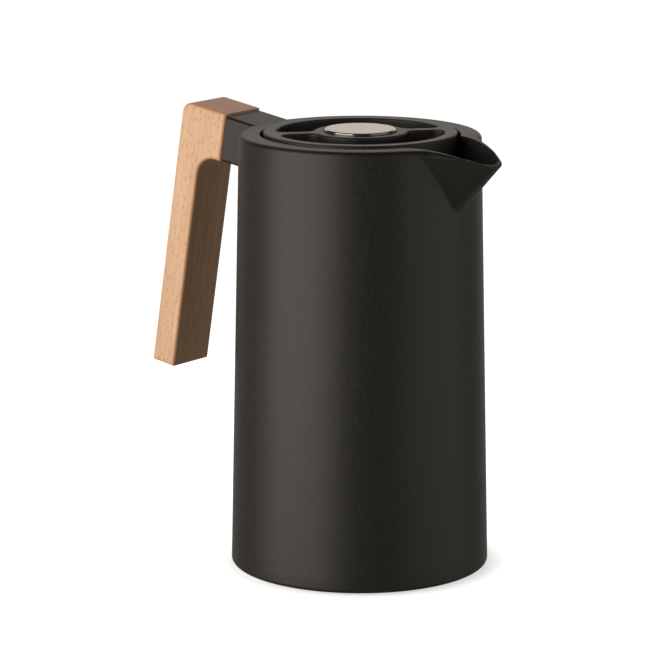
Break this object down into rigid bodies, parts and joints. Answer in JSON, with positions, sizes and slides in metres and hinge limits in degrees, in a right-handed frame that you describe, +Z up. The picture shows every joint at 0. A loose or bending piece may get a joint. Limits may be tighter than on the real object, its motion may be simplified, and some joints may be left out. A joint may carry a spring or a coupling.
{
  "type": "double-walled jug",
  "caption": "Tapered insulated jug with a moulded pouring beak, a leaning wooden grip, a steel vacuum flask inside and a screw-in stopper lid with a push-button pouring valve.",
  "frame": {"origin": "centre of the base, on the underside of the rubber pad, on the axis of the tapered body", "axes": "+Z up along the body's axis, +X towards the pouring beak, -X towards the handle"},
  "size_m": [0.1989, 0.1248, 0.2185],
  "materials": {
    "black_body": "fine matt moulded black",
    "black_lid": "matt moulded black",
    "beech": "oiled beech with fine rays",
    "button_steel": "fine turned stainless steel, polished bevel",
    "flask_steel": "brushed stainless steel",
    "screw_steel": "zinc-plated or stainless steel",
    "insert_brass": "turned brass",
    "silicone": "matt translucent grey silicone",
    "base_rubber": "matt black rubber"
  },
  "bodies": {
    "jug": {"outer_shell": "black_body", "neck_collar": "black_body", "flask_outer": "flask_steel", "flask_inner": "flask_steel", "neck_gasket": "silicone", "flask_cushion": "silicone", "base_cover": "black_body", "base_screws": "screw_steel", "anti_slip_pad": "base_rubber", "handle_grip": "beech", "grip_inserts": "insert_brass", "handle_screws": "screw_steel", "handle_washers": "screw_steel"},
    "seal": {"stopper_seal": "silicone"},
    "lid": {"lid_cover": "black_lid", "stopper_body": "black_lid", "stem_o_ring": "silicone", "button_spring": "screw_steel"},
    "button": {"button_cap": "button_steel", "button_core": "black_lid", "valve_stem": "screw_steel", "valve_disc": "black_lid", "valve_seal": "silicone", "stem_clip": "screw_steel"}
  },
  "joints": [
    {"name": "lid_lift", "type": "slide", "parent": "jug", "child": "seal", "axis": [0, 0, 1], "range_m": [0, 0.1]},
    {"name": "lid_twist", "type": "hinge", "parent": "seal", "child": "lid", "pos_m": [0, 0, 0.2], "axis": [0, 0, 1], "range_deg": [0, 90]},
    {"name": "button_press", "type": "slide", "parent": "lid", "child": "button", "axis": [0, 0, -1], "range_m": [0, 0.0045], "stiffness_N_per_m": 1300, "springref_m": -0.003, "deforming": ["button_spring"]}
  ]
}
